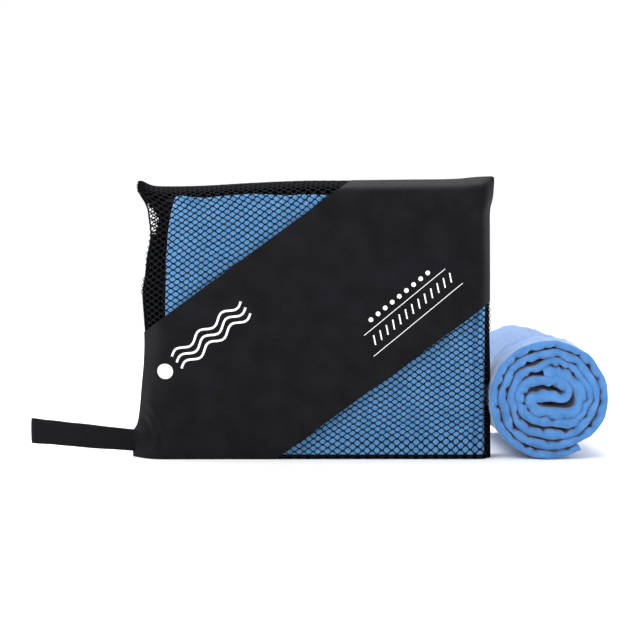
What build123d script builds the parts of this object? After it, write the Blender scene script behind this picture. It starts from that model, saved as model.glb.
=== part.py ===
"""Quick-dry travel towel set: a zipped net-and-nylon pouch with one towel folded inside it,
and a second towel rolled up beside it.

Frame, in millimetres: origin on the floor under the middle of the pouch, +X to the right along
the pouch's width, +Y to its back, +Z up.
"""

import os

from build123d import *

# ---------------------------------------------------------------- driving dimensions
CLOTH = 0.8  # thickness of a pouch panel
GAP = 0.3  # room between pieces that move against each other

POUCH_LEFT = -118.0
POUCH_RIGHT = 121.0
POUCH_FRONT = -18.0
POUCH_BACK = 19.65
FOLD_Z = 180.0  # height where the front panel folds over the towel
RIDGE_Y = 10.0
RIDGE_Z = 189.0
SIDE_ROUND = 6.0

BAND_SLOPE = 36.2  # degrees that the nylon band rises to the right
BAND_UPPER_X = 14.0  # the band's upper edge passes through this point
BAND_UPPER_Z = 181.8
BAND_LOWER_X = 118.0  # and its lower edge through this one
BAND_LOWER_Z = 104.5

ZIP_Z = 178.0  # middle of the zip chain
ZIP_Y = 18.6  # middle plane of the zip tapes
ZIP_LEFT = -102.5
ZIP_RIGHT = 113.6
ZIP_MARGIN = 5.5  # from the chain's middle to the fabric edge above and below
TAPE = 0.5
TAPE_REACH = 9.0  # how far a tape runs behind the fabric, from the chain's middle
TAPE_SPACE = 1.1  # half the space between the two tapes
TOOTH_PITCH = 2.6
TOOTH_DEEP = 1.8
TOOTH_LONG = 1.2

SLIDER_X = 107.0  # the slider's middle when the zip is closed
SLIDER_LONG = 9.0
SLIDER_WIDE = 8.4
SLIDER_PLATE = 1.0
ZIP_TRAVEL = 203.0

LOOP_TILT = 6.0  # degrees that the loop rises towards its fold
WEBBING = 1.2
WEBBING_WIDE = 15.4
LOOP_LONG = 72.0
LOOP_FOLD_R = 3.9
LOOP_ROOT_Z = 4.0

BLOCK_LEFT = -101.5  # the folded towel
BLOCK_RIGHT = 118.6
BLOCK_FRONT = -16.5
BLOCK_BACK = 15.7
BLOCK_LOW = 1.6
BLOCK_HIGH = 179.4

ROLL_X = 162.6  # the rolled towel's axis
ROLL_Z = 40.6
ROLL_R = 41.0
ROLL_FRONT = -22.0
ROLL_LONG = 175.0

os.makedirs("parts", exist_ok=True)


def save(piece, name):
    """Labels one finished sub-part and writes it to its own STEP file."""
    piece.part.label = name
    export_step(piece.part, f"parts/{name}.step")


def band_edge(x, z):
    """The plane through one edge of the diagonal band. Its normal points up and to the left."""
    normal = Vector(0, 0, 1).rotate(Axis.Y, -BAND_SLOPE)
    return Plane(origin=(x, 0, z), z_dir=normal)


UPPER_EDGE = band_edge(BAND_UPPER_X, BAND_UPPER_Z)
LOWER_EDGE = band_edge(BAND_LOWER_X, BAND_LOWER_Z)

# ---------------------------------------------------------------- the pouch's own walls
wall_left = POUCH_LEFT + CLOTH / 2  # middle of each wall's thickness
wall_right = POUCH_RIGHT - CLOTH / 2
wall_front = POUCH_FRONT + CLOTH / 2
wall_back = POUCH_BACK - CLOTH / 2
shoulder_front = POUCH_LEFT + 17.0  # where the left side starts to slope back to its seam
shoulder_back = POUCH_LEFT + 12.0
zip_low = ZIP_Z - ZIP_MARGIN
zip_high = ZIP_Z + ZIP_MARGIN
mouth_left = BLOCK_LEFT - 1.0  # the fixed corners of the mouth stay clear of the towel
mouth_right = BLOCK_RIGHT + 0.8

# The walls end just under the mouth's tent-shaped cover.
under_cover = [
    (POUCH_FRONT - 1, 0),
    (POUCH_FRONT - 1, FOLD_Z),
    (POUCH_FRONT + CLOTH + 0.3, FOLD_Z),
    (POUCH_FRONT + 3.1, FOLD_Z + 2.2),
    (RIDGE_Y, RIDGE_Z - CLOTH - 0.4),
    (POUCH_BACK - CLOTH - 0.5, RIDGE_Z - 4.0),
    (POUCH_BACK - CLOTH - 0.5, zip_high - 0.2),
    (POUCH_BACK + 1, zip_high - 0.2),
    (POUCH_BACK + 1, 0),
]


def keep_under_cover():
    """Trims the wall being built to the space below the mouth's cover."""
    with BuildSketch(Plane.YZ.offset(POUCH_LEFT - 10)) as space:
        with BuildLine():
            Polyline(*under_cover, close=True)
        make_face()
    extrude(space.sketch, amount=POUCH_RIGHT - POUCH_LEFT + 20, mode=Mode.INTERSECT)


with BuildPart() as front_wall:
    with BuildSketch(Plane.XY.offset(CLOTH)):
        with BuildLine() as plan:
            FilletPolyline(
                (wall_left, 0),
                (wall_left, -2.5),
                (shoulder_front, wall_front),
                (wall_right, wall_front),
                (wall_right, 0),
                radius=[1.2, SIDE_ROUND, SIDE_ROUND],
            )
        trace(plan.line, CLOTH)
    extrude(amount=RIDGE_Z)
    keep_under_cover()

with BuildPart() as front_mesh_upper:
    add(front_wall.part)
    split(bisect_by=UPPER_EDGE, keep=Keep.TOP)

with BuildPart() as front_band:
    add(front_wall.part)
    split(bisect_by=UPPER_EDGE, keep=Keep.BOTTOM)
    split(bisect_by=LOWER_EDGE, keep=Keep.TOP)

with BuildPart() as front_mesh_lower:
    add(front_wall.part)
    split(bisect_by=LOWER_EDGE, keep=Keep.BOTTOM)

with BuildPart() as back_panel:
    with BuildSketch(Plane.XY.offset(CLOTH)):
        with BuildLine() as plan:
            FilletPolyline(
                (wall_left, 0),
                (wall_left, 2.5),
                (shoulder_back, wall_back),
                (wall_right, wall_back),
                (wall_right, 0),
                radius=[1.2, SIDE_ROUND, SIDE_ROUND],
            )
        trace(plan.line, CLOTH)
    extrude(amount=RIDGE_Z)
    keep_under_cover()
    # the zip's window, with room over it for the mouth's cover
    with BuildSketch(Plane.XZ.offset(-POUCH_BACK - 1)):
        with Locations(((ZIP_LEFT + ZIP_RIGHT) / 2, zip_low)):
            Rectangle(
                ZIP_RIGHT - ZIP_LEFT, RIDGE_Z - zip_low, align=(Align.CENTER, Align.MIN)
            )
    extrude(amount=CLOTH + 1.5, mode=Mode.SUBTRACT)

with BuildPart() as bottom_panel:
    with BuildSketch():
        with BuildLine():
            FilletPolyline(
                (POUCH_LEFT, -2.5),
                (shoulder_front, POUCH_FRONT),
                (POUCH_RIGHT, POUCH_FRONT),
                (POUCH_RIGHT, POUCH_BACK),
                (shoulder_back, POUCH_BACK),
                (POUCH_LEFT, 2.5),
                close=True,
                radius=1.5,
            )
        make_face()
    extrude(amount=CLOTH)

# Bias tape folded over the raw edges, inside the two side seams.
with BuildPart() as left_seam_binding:
    with BuildSketch(Plane.XY.offset(CLOTH + 0.4)):
        with Locations((POUCH_LEFT + CLOTH + 2.2, 0)):
            RectangleRounded(3.4, 1.6, 0.7)
    extrude(amount=FOLD_Z)

with BuildPart() as right_seam_binding:
    with BuildSketch(Plane.XY.offset(CLOTH + 0.4)):
        with Locations((POUCH_RIGHT - CLOTH - 0.65, 0)):
            RectangleRounded(1.2, 1.6, 0.5)
    extrude(amount=FOLD_Z)

# ---------------------------------------------------------------- the mouth's cover
# The front panel goes on over the top of the towel to the zip. This part of it lifts.


def cover_profile():
    """The cover's cross-section from the front fold over the ridge to its edge at the zip."""
    with BuildSketch(Plane.YZ.offset(POUCH_LEFT - 5)) as section:
        with BuildLine() as line:
            FilletPolyline(
                (wall_front, FOLD_Z + 0.3),
                (wall_front + 2.2, FOLD_Z + 3.2),
                (RIDGE_Y, RIDGE_Z - CLOTH / 2),
                (wall_back, RIDGE_Z - 3.0),
                (wall_back, zip_high),
                radius=[2.0, 6.0, 1.2],
            )
        trace(line.line, CLOTH)
    return section.sketch


with BuildPart() as cover:
    extrude(cover_profile(), amount=POUCH_RIGHT - POUCH_LEFT + 10)
    with BuildSketch():
        with BuildLine():
            FilletPolyline(
                (POUCH_LEFT, -2.5),
                (shoulder_front, POUCH_FRONT),
                (POUCH_RIGHT, POUCH_FRONT),
                (POUCH_RIGHT, POUCH_BACK),
                (shoulder_back, POUCH_BACK),
                (POUCH_LEFT, 2.5),
                close=True,
                radius=1.5,
            )
        make_face()
    extrude(amount=RIDGE_Z + 5, mode=Mode.INTERSECT)

with BuildPart() as flap_mesh:
    add(cover.part)
    split(bisect_by=Plane.YZ.offset(mouth_left + GAP), keep=Keep.TOP)
    split(bisect_by=UPPER_EDGE, keep=Keep.TOP)

with BuildPart() as flap_nylon:
    add(cover.part)
    split(bisect_by=Plane.YZ.offset(mouth_right - GAP), keep=Keep.BOTTOM)
    split(bisect_by=UPPER_EDGE, keep=Keep.BOTTOM)

with BuildPart() as mouth_corner_left:
    add(cover.part)
    split(bisect_by=Plane.YZ.offset(mouth_left), keep=Keep.BOTTOM)

with BuildPart() as mouth_corner_right:
    add(cover.part)
    split(bisect_by=Plane.YZ.offset(mouth_right), keep=Keep.TOP)

# ---------------------------------------------------------------- the zip
ZIP_PLANE = Plane(origin=(0, ZIP_Y, ZIP_Z), x_dir=(1, 0, 0), z_dir=(0, -1, 0))
tape_left = ZIP_LEFT + 0.2
tape_right = ZIP_RIGHT - 0.2
slider_open_x = SLIDER_X - ZIP_TRAVEL
teeth_left = slider_open_x + SLIDER_LONG / 2 + 0.6
teeth_right = SLIDER_X - SLIDER_LONG / 2 - 0.6
tooth_count = int((teeth_right - teeth_left) / TOOTH_PITCH)


def tape(side):
    """One zip tape. Side is 1 for the upper tape and -1 for the lower one."""
    low, high = sorted((side * TAPE_SPACE, side * TAPE_REACH))
    with BuildSketch(ZIP_PLANE) as outline:
        with Locations(((tape_left + tape_right) / 2, (low + high) / 2)):
            Rectangle(tape_right - tape_left, high - low)
    extrude(outline.sketch, amount=TAPE / 2, both=True)


def teeth(side):
    """One row of teeth, moulded on a rib along its tape's edge."""
    middle = (teeth_left + teeth_right) / 2
    shift = side * TOOTH_PITCH / 4  # the two rows mesh half a pitch apart
    with BuildSketch(ZIP_PLANE) as outline:
        with Locations((middle, side * 1.45)):
            Rectangle(teeth_right - teeth_left, 0.7)
        with Locations((middle + shift, side * 0.55)):
            with GridLocations(TOOTH_PITCH, 1, tooth_count, 1):
                Rectangle(TOOTH_LONG, 1.6)
        with Locations((middle + shift, -side * 0.1)):
            with GridLocations(TOOTH_PITCH, 1, tooth_count, 1):
                Rectangle(TOOTH_LONG * 0.98, 0.5)
    extrude(outline.sketch, amount=TOOTH_DEEP / 2, both=True)


with BuildPart() as zip_tape_lower:
    tape(-1)

with BuildPart() as zip_tape_upper:
    tape(1)
    # the upper tape ends below the cover's slope
    split(bisect_by=Plane.XY.offset(RIDGE_Z - 4.3), keep=Keep.BOTTOM)

with BuildPart() as zip_teeth_lower:
    teeth(-1)
    # the tape's edge is held in a groove along the rib
    with BuildSketch(ZIP_PLANE):
        with Locations(((tape_left + tape_right) / 2, -(TAPE_SPACE + 2))):
            Rectangle(tape_right - tape_left, 4)
    extrude(amount=TAPE / 2, both=True, mode=Mode.SUBTRACT)

with BuildPart() as zip_teeth_upper:
    teeth(1)
    with BuildSketch(ZIP_PLANE):
        with Locations(((tape_left + tape_right) / 2, TAPE_SPACE + 2)):
            Rectangle(tape_right - tape_left, 4)
    extrude(amount=TAPE / 2, both=True, mode=Mode.SUBTRACT)

with BuildPart() as zip_stop_closed:
    with BuildSketch(ZIP_PLANE.offset(-TAPE / 2)):
        with Locations((SLIDER_X + SLIDER_LONG / 2 + 1.0, 0)):
            RectangleRounded(1.2, 5.0, 0.4)
    extrude(amount=-0.8)

with BuildPart() as zip_stop_open:
    with BuildSketch(ZIP_PLANE.offset(-TAPE / 2)):
        with Locations((slider_open_x - SLIDER_LONG / 2 - 1.0, 0)):
            RectangleRounded(1.2, 5.0, 0.4)
    extrude(amount=-0.8)

# ---------------------------------------------------------------- the slider and its pull
plate_in = ZIP_Y - TOOTH_DEEP / 2 - 0.2  # the inner plate's face towards the teeth
plate_out = ZIP_Y + TOOTH_DEEP / 2 + 0.2
bridge_high = 2.4
pin_y = plate_out + SLIDER_PLATE + 0.95
tab_long = 23.0
tab_wide = 5.2

with BuildPart() as slider_body:
    for face, direction in ((plate_out, 1), (plate_in, -1)):
        # a plate that narrows behind its two mouths
        with BuildSketch(Plane(origin=(SLIDER_X, face, ZIP_Z), x_dir=(1, 0, 0), z_dir=(0, direction, 0))):
            with BuildLine():
                FilletPolyline(
                    (-SLIDER_LONG / 2, -SLIDER_WIDE * 0.38),
                    (0, -SLIDER_WIDE * 0.4),
                    (SLIDER_LONG / 2, -SLIDER_WIDE / 2),
                    (SLIDER_LONG / 2, SLIDER_WIDE / 2),
                    (0, SLIDER_WIDE * 0.4),
                    (-SLIDER_LONG / 2, SLIDER_WIDE * 0.38),
                    close=True,
                    radius=0.8,
                )
            make_face()
        extrude(amount=SLIDER_PLATE)
        # the flanges along both sides, which leave a slot for the tape
        reach = TOOTH_DEEP / 2 + 0.2 - TAPE / 2 - 0.2
        with BuildSketch(Plane(origin=(SLIDER_X, face, ZIP_Z), x_dir=(1, 0, 0), z_dir=(0, -direction, 0))):
            with Locations((-0.2, SLIDER_WIDE * 0.34), (-0.2, -SLIDER_WIDE * 0.34)):
                Rectangle(SLIDER_LONG - 2.2, 0.7)
        extrude(amount=reach)
    # the post that parts the two rows of teeth
    post_x = SLIDER_X + SLIDER_LONG / 2 - 1.3
    with BuildSketch(Plane(origin=(post_x, plate_in, ZIP_Z), x_dir=(1, 0, 0), z_dir=(0, 1, 0))):
        Ellipse(1.0, 0.8)
    extrude(amount=plate_out - plate_in)

with BuildPart() as slider_bridge:
    with BuildSketch(Plane.XY.offset(ZIP_Z)):
        with Locations((SLIDER_X, plate_out + SLIDER_PLATE)):
            RectangleRounded(6.4, 2 * bridge_high, 1.2)
            RectangleRounded(4.2, 2 * (bridge_high - 0.8), 0.6, mode=Mode.SUBTRACT)
            Rectangle(8, bridge_high, align=(Align.CENTER, Align.MAX), mode=Mode.SUBTRACT)
    extrude(amount=0.7, both=True)

with BuildPart() as pull_tab:
    # the flat tab lies along the zip, with a slot in its end for the bridge
    with BuildSketch(Plane(origin=(SLIDER_X, pin_y, ZIP_Z), x_dir=(-1, 0, 0), z_dir=(0, 1, 0))):
        with BuildLine():
            FilletPolyline(
                (-0.7, -1.9),
                (5.5, -1.9),
                (9.0, -tab_wide / 2),
                (tab_long, -tab_wide / 2),
                (tab_long, tab_wide / 2),
                (9.0, tab_wide / 2),
                (5.5, 1.9),
                (-0.7, 1.9),
                close=True,
                radius=0.6,
            )
        make_face()
        with Locations((2.9, 0)):
            RectangleRounded(5.0, 2.0, 0.6, mode=Mode.SUBTRACT)
        with Locations((tab_long - 4.0, 0)):
            SlotOverall(4.6, 2.0, mode=Mode.SUBTRACT)
    extrude(amount=0.5, both=True)
    # the round cross bar that turns under the bridge
    with BuildSketch(Plane.XY.offset(ZIP_Z)):
        with Locations((SLIDER_X, pin_y)):
            Circle(0.55)
    extrude(amount=1.9, both=True)

# ---------------------------------------------------------------- the wrist loop
root_x = POUCH_LEFT - 4.0
hinge_x = root_x - GAP - WEBBING  # the loop swings about a line just outside its root
loop_plane = Plane(origin=(hinge_x, 0, LOOP_ROOT_Z), x_dir=(-1, 0, 0), z_dir=(0, 0, -1))
tilted = loop_plane.rotated((0, LOOP_TILT, 0))

with BuildPart() as wrist_loop:
    # one length of webbing, out along the front, round the fold, and back along the rear
    half = WEBBING / 2
    with BuildSketch(tilted):
        with BuildLine() as route:
            Spline(
                (-3, -half),
                (LOOP_LONG * 0.45, -LOOP_FOLD_R * 0.95),
                (LOOP_LONG - LOOP_FOLD_R, -LOOP_FOLD_R),
                tangents=[(1, 0), (1, 0)],
            )
            ThreePointArc(
                (LOOP_LONG - LOOP_FOLD_R, -LOOP_FOLD_R),
                (LOOP_LONG - half, 0),
                (LOOP_LONG - LOOP_FOLD_R, LOOP_FOLD_R),
            )
            Spline(
                (LOOP_LONG - LOOP_FOLD_R, LOOP_FOLD_R),
                (LOOP_LONG * 0.45, LOOP_FOLD_R * 0.95),
                (-3, half),
                tangents=[(-1, 0), (-1, 0)],
            )
        trace(route.line, WEBBING)
    extrude(amount=-WEBBING_WIDE)
    split(bisect_by=Plane.YZ.offset(hinge_x), keep=Keep.BOTTOM)
    with BuildSketch(Plane.XY.offset(LOOP_ROOT_Z)):
        with Locations((hinge_x, 0)):
            Circle(WEBBING)
    extrude(amount=WEBBING_WIDE)

with BuildPart() as loop_root:
    # the two ends of the webbing where they go into the seam
    with BuildSketch(Plane.XY.offset(LOOP_ROOT_Z)):
        with Locations(((root_x + POUCH_LEFT) / 2, half), ((root_x + POUCH_LEFT) / 2, -half)):
            Rectangle(POUCH_LEFT - root_x, WEBBING)
    extrude(amount=WEBBING_WIDE)

with BuildPart() as loop_bar_tack:
    # a dense bar of thread across the root, front and back
    for face, direction in ((-WEBBING, -1), (WEBBING, 1)):
        plane = Plane(
            origin=((root_x + POUCH_LEFT) / 2, face, LOOP_ROOT_Z + WEBBING_WIDE / 2),
            x_dir=(1, 0, 0),
            z_dir=(0, direction, 0),
        )
        with BuildSketch(plane):
            RectangleRounded(2.6, WEBBING_WIDE - 1.4, 0.6)
        extrude(amount=0.35)

# ---------------------------------------------------------------- the two towels
with BuildPart() as folded_towel:
    with BuildSketch(Plane.XY.offset(BLOCK_LOW)):
        with Locations(((BLOCK_LEFT + BLOCK_RIGHT) / 2, (BLOCK_FRONT + BLOCK_BACK) / 2)):
            RectangleRounded(BLOCK_RIGHT - BLOCK_LEFT, BLOCK_BACK - BLOCK_FRONT, 11.0)
    extrude(amount=BLOCK_HIGH - BLOCK_LOW)
    fillet(folded_towel.faces().sort_by(Axis.Z)[-1].edges(), radius=3.0)
    fillet(folded_towel.faces().sort_by(Axis.Z)[0].edges(), radius=2.0)

with BuildPart() as rolled_towel:
    with BuildSketch(Plane.XZ.offset(-ROLL_FRONT)):
        with Locations((ROLL_X, ROLL_Z)):
            Circle(ROLL_R)
    extrude(amount=-ROLL_LONG)
    fillet(rolled_towel.edges().filter_by(GeomType.CIRCLE), radius=3.0)
    # the roll's own weight flattens it where it lies on the floor
    split(bisect_by=Plane.XY, keep=Keep.TOP)

pieces = {
    "front_mesh_upper": front_mesh_upper,
    "front_band": front_band,
    "front_mesh_lower": front_mesh_lower,
    "back_panel": back_panel,
    "bottom_panel": bottom_panel,
    "left_seam_binding": left_seam_binding,
    "right_seam_binding": right_seam_binding,
    "flap_mesh": flap_mesh,
    "flap_nylon": flap_nylon,
    "mouth_corner_left": mouth_corner_left,
    "mouth_corner_right": mouth_corner_right,
    "zip_tape_lower": zip_tape_lower,
    "zip_tape_upper": zip_tape_upper,
    "zip_teeth_lower": zip_teeth_lower,
    "zip_teeth_upper": zip_teeth_upper,
    "zip_stop_closed": zip_stop_closed,
    "zip_stop_open": zip_stop_open,
    "slider_body": slider_body,
    "slider_bridge": slider_bridge,
    "pull_tab": pull_tab,
    "wrist_loop": wrist_loop,
    "loop_root": loop_root,
    "loop_bar_tack": loop_bar_tack,
    "folded_towel": folded_towel,
    "rolled_towel": rolled_towel,
}
for name, piece in pieces.items():
    save(piece, name)
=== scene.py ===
"""Looks for the quick-dry towel set: a net-and-nylon pouch with a folded towel in it, and a second
towel rolled up beside it.

Shapes are worked out in millimetres, in the CAD frame: X across the pouch, Y to its back, Z up.
"""

import random
from math import atan2, ceil, copysign, cos, exp, floor, pi, radians, sin

import bmesh
import bpy
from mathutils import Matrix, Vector, noise


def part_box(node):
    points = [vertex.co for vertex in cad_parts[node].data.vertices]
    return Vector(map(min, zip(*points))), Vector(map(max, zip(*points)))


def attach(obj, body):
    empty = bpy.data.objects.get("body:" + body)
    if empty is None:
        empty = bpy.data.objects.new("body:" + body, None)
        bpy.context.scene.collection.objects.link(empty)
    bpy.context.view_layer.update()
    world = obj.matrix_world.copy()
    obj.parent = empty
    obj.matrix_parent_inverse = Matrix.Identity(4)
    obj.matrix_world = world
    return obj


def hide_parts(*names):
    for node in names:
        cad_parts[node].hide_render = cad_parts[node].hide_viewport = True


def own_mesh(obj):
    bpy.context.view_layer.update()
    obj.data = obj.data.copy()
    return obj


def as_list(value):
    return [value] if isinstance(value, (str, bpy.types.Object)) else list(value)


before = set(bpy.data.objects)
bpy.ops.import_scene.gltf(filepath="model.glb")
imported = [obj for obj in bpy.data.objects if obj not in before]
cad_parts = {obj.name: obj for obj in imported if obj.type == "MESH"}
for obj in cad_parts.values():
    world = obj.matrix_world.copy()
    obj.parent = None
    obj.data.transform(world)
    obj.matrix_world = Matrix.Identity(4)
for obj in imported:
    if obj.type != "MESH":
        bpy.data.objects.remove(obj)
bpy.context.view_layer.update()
MM = 0.001
noise.seed_set(11)  # without a seed, noise_vector gives other values on every run


def box_mm(node):
    """A CAD node's lowest and highest corners, in millimetres."""
    low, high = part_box(node)
    return Vector(low) / MM, Vector(high) / MM


# ------------------------------------------------------------------ sizes taken from the frame
BLOCK_LOW, BLOCK_HIGH = box_mm("folded_towel")
ROLL_LOW, ROLL_HIGH = box_mm("rolled_towel")
BOTTOM_LOW, BOTTOM_HIGH = box_mm("bottom_panel")
TAPE_LOW, TAPE_HIGH = box_mm("zip_tape_lower")
LOOP_LOW, LOOP_HIGH = box_mm("wrist_loop")

FRONT_Y = BOTTOM_LOW.y
BACK_Y = BOTTOM_HIGH.y


# ------------------------------------------------------------------ camera, floor and lights
def aim(obj, target):
    """Turns a camera or light so that it looks at the target point."""
    obj.rotation_euler = (Vector(target) - obj.location).to_track_quat("-Z", "Y").to_euler()


def add_camera():
    """A long lens in front of the pouch and a little above it. Places are in metres."""
    away, across = 1.15, 0.0058
    eye_height, target_height = 0.147, 0.0957
    data = bpy.data.cameras.new("photo_view")
    data.lens = 94.85
    data.sensor_width = 36.0
    camera = bpy.data.objects.new("photo_view", data)
    bpy.context.scene.collection.objects.link(camera)
    camera.location = (across, FRONT_Y * MM - away, eye_height)
    aim(camera, (across, FRONT_Y * MM, target_height))
    bpy.context.scene.camera = camera


def add_area_light(name, location, target, size, watts):
    data = bpy.data.lights.new(name, "AREA")
    data.shape = "RECTANGLE"
    data.size, data.size_y = size
    data.energy = watts
    light = bpy.data.objects.new(name, data)
    bpy.context.scene.collection.objects.link(light)
    light.location = location
    aim(light, target)


def add_studio():
    """White surroundings, three soft lights and a white floor."""
    world = bpy.data.worlds.new("studio")
    world.use_nodes = True
    background = world.node_tree.nodes["Background"]
    background.inputs["Color"].default_value = (1.0, 1.0, 1.0, 1)
    background.inputs["Strength"].default_value = 1.03
    bpy.context.scene.world = world
    bpy.context.scene.view_settings.view_transform = "Standard"

    add_area_light("key", (-0.75, -1.1, 1.25), (0.03, 0, 0.08), (0.7, 0.7), 15)
    add_area_light("fill", (1.2, -1.0, 0.7), (0.05, 0, 0.08), (0.8, 0.8), 4)
    add_area_light("top", (-0.1, 0.5, 1.2), (0.1, 0.05, 0.05), (1.0, 0.7), 17)

    bpy.ops.mesh.primitive_plane_add(size=8, location=(0, 0, 0))
    floor_plane = bpy.context.object
    floor_plane.name = "studio_floor"
    material = bpy.data.materials.new("pale_floor")
    material.use_nodes = True
    shader = material.node_tree.nodes["Principled BSDF"]
    shader.inputs["Base Color"].default_value = (1.0, 1.0, 1.0, 1)
    shader.inputs["Roughness"].default_value = 0.7
    shader.inputs["Specular IOR Level"].default_value = 0.15
    floor_plane.data.materials.append(material)


# ------------------------------------------------------------------ materials
class Shader:
    """A new material with a Principled shader, and short ways to add the nodes around it."""

    def __init__(self, name, **sockets):
        self.material = bpy.data.materials.new(name)
        self.material.use_nodes = True
        self.nodes = self.material.node_tree.nodes
        self.links = self.material.node_tree.links
        self.bsdf = self.nodes["Principled BSDF"]
        for key, value in sockets.items():
            self.bsdf.inputs[key.replace("_", " ")].default_value = value
        self.coords = self.nodes.new("ShaderNodeTexCoord").outputs["Object"]

    def turned(self, turn):
        """Object coordinates, turned."""
        mapping = self.nodes.new("ShaderNodeMapping")
        mapping.vector_type = "TEXTURE"
        mapping.inputs["Rotation"].default_value = turn
        self.links.new(self.coords, mapping.inputs["Vector"])
        return mapping.outputs["Vector"]

    def noise(self, size_mm, detail):
        """Noise whose grain is about size_mm across."""
        node = self.nodes.new("ShaderNodeTexNoise")
        node.inputs["Scale"].default_value = 1 / (size_mm * MM)
        node.inputs["Detail"].default_value = detail
        self.links.new(self.coords, node.inputs["Vector"])
        return node.outputs["Fac"]

    def wave(self, pitch_mm, direction, vector=None):
        """Ribs across the direction, one every pitch_mm."""
        node = self.nodes.new("ShaderNodeTexWave")
        node.bands_direction = direction
        node.inputs["Scale"].default_value = 2 * pi / (20 * pitch_mm * MM)
        self.links.new(vector or self.coords, node.inputs["Vector"])
        return node.outputs["Fac"]

    def blend(self, kind, a, b):
        """Math on two values, either of which may be a plain number."""
        node = self.nodes.new("ShaderNodeMath")
        node.operation = kind
        for socket, value in zip(node.inputs, (a, b)):
            if isinstance(value, (int, float)):
                socket.default_value = value
            else:
                self.links.new(value, socket)
        return node.outputs[0]

    def ramp(self, value, stops):
        """Colours along a value from 0 to 1."""
        node = self.nodes.new("ShaderNodeValToRGB")
        while len(node.color_ramp.elements) < len(stops):
            node.color_ramp.elements.new(0.5)
        for element, (place, colour) in zip(node.color_ramp.elements, stops):
            element.position = place
            element.color = (*colour, 1)
        self.links.new(value, node.inputs["Fac"])
        return node.outputs["Color"]

    def mixed(self, a, b, share):
        """The given share of a, and the rest of b."""
        return self.blend("ADD", self.blend("MULTIPLY", a, share), self.blend("MULTIPLY", b, 1 - share))

    def paint(self, colour):
        self.links.new(colour, self.bsdf.inputs["Base Color"])

    def rough(self, value, low, high):
        """Roughness from low to high along a value from 0 to 1."""
        node = self.nodes.new("ShaderNodeMapRange")
        node.inputs["To Min"].default_value = low
        node.inputs["To Max"].default_value = high
        self.links.new(value, node.inputs["Value"])
        self.links.new(node.outputs["Result"], self.bsdf.inputs["Roughness"])

    def bump(self, height, depth_mm, strength):
        """Adds relief on top of any that is already there."""
        node = self.nodes.new("ShaderNodeBump")
        node.inputs["Strength"].default_value = strength
        node.inputs["Distance"].default_value = depth_mm * MM
        self.links.new(height, node.inputs["Height"])
        if self.bsdf.inputs["Normal"].links:
            self.links.new(self.bsdf.inputs["Normal"].links[0].from_socket, node.inputs["Normal"])
        self.links.new(node.outputs["Normal"], self.bsdf.inputs["Normal"])


def microfibre(name, dark, light, sheen, tint):
    """Suede-like towelling: fine nap, soft patches of painted shade that stand for the shade of folds, pale
    sheen.
    """
    shader = Shader(
        name, Roughness=0.95, Sheen_Weight=sheen, Sheen_Roughness=0.35, Specular_IOR_Level=0.15
    )
    shader.bsdf.inputs["Sheen Tint"].default_value = (*tint, 1)
    # painted shade: soft patches about 9 mm across darken and lighten the colour like the shade of folds;
    # the same noise also gives a soft bump
    painted_shade_patches = shader.noise(9.0, 3.0)
    nap = shader.noise(0.45, 2.0)
    shader.paint(shader.ramp(shader.mixed(painted_shade_patches, nap, 0.6), [(0.36, dark), (0.64, light)]))
    weave = shader.blend("MULTIPLY", shader.wave(0.7, "X"), shader.wave(0.7, "Z"))
    shader.bump(shader.blend("ADD", nap, weave), 0.10, 0.6)
    shader.bump(painted_shade_patches, 0.5, 0.35)
    return shader.material


# ------------------------------------------------------------------ mesh helpers
def link(name, mesh, body):
    """Puts a mesh into the scene as an object that rides on a CAD body."""
    obj = bpy.data.objects.new(name, mesh)
    bpy.context.scene.collection.objects.link(obj)
    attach(obj, body)
    return obj


def build(name, points_mm, faces, material, body, smooth=True):
    """A new piece from points in millimetres, which rides on a CAD body."""
    mesh = bpy.data.meshes.new(name)
    mesh.from_pydata([Vector(p) * MM for p in points_mm], [], faces)
    mesh.polygons.foreach_set("use_smooth", [smooth] * len(mesh.polygons))
    mesh.materials.append(material)
    mesh.update()
    return link(name, mesh, body)


def grid_faces(rows, columns):
    """Quads of a grid whose points run along each row in turn."""
    return [
        (r * columns + c, r * columns + c + 1, (r + 1) * columns + c + 1, (r + 1) * columns + c)
        for r in range(rows - 1)
        for c in range(columns - 1)
    ]


def smooth_line(points, step):
    """Points every step along a smooth curve through the given ones, which have 2 or 3 numbers."""
    points = [Vector(p) for p in points]
    ends = [2 * points[0] - points[1], *points, 2 * points[-1] - points[-2]]
    fine = []
    for i in range(1, len(ends) - 2):
        p0, p1, p2, p3 = ends[i - 1 : i + 3]
        for k in range(12):
            t = k / 12
            fine.append(
                0.5 * (2 * p1 + (p2 - p0) * t + (2 * p0 - 5 * p1 + 4 * p2 - p3) * t * t
                       + (3 * p1 - p0 - 3 * p2 + p3) * t * t * t)
            )
    fine.append(points[-1])
    return even(fine, step)


def even(points, step):
    """The same line with its points spaced evenly, about step apart."""
    lengths = [0.0]
    for a, b in zip(points, points[1:]):
        lengths.append(lengths[-1] + (b - a).length)
    count = max(2, round(lengths[-1] / step))
    result, i = [], 0
    for k in range(count + 1):
        target = lengths[-1] * k / count
        while i < len(lengths) - 2 and lengths[i + 1] < target:
            i += 1
        share = (target - lengths[i]) / max(1e-9, lengths[i + 1] - lengths[i])
        result.append(points[i].lerp(points[i + 1], share))
    return result


def ease(low, high, value):
    """0 below low, 1 above high, and a smooth rise between."""
    t = min(1.0, max(0.0, (value - low) / (high - low)))
    return t * t * (3 - 2 * t)


def ripple(x, y, z, size):
    """Smooth noise vector with components from about -1 to 1, of the given size in millimetres."""
    return noise.noise_vector(Vector((x, y, z)) / size)


def stretched(piece, wide, long, area, sewn_to):
    """Takes cloth that is sewn in flat, with its cut size in millimetres, and records nothing."""
    area and area * MM * MM
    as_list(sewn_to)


def dress(node, material):
    """Gives a CAD node's own object its material."""
    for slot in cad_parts[node].material_slots:
        slot.material = material


# ------------------------------------------------------------------ towels
LAYER = 0.72  # one layer of rolled towelling


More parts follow.
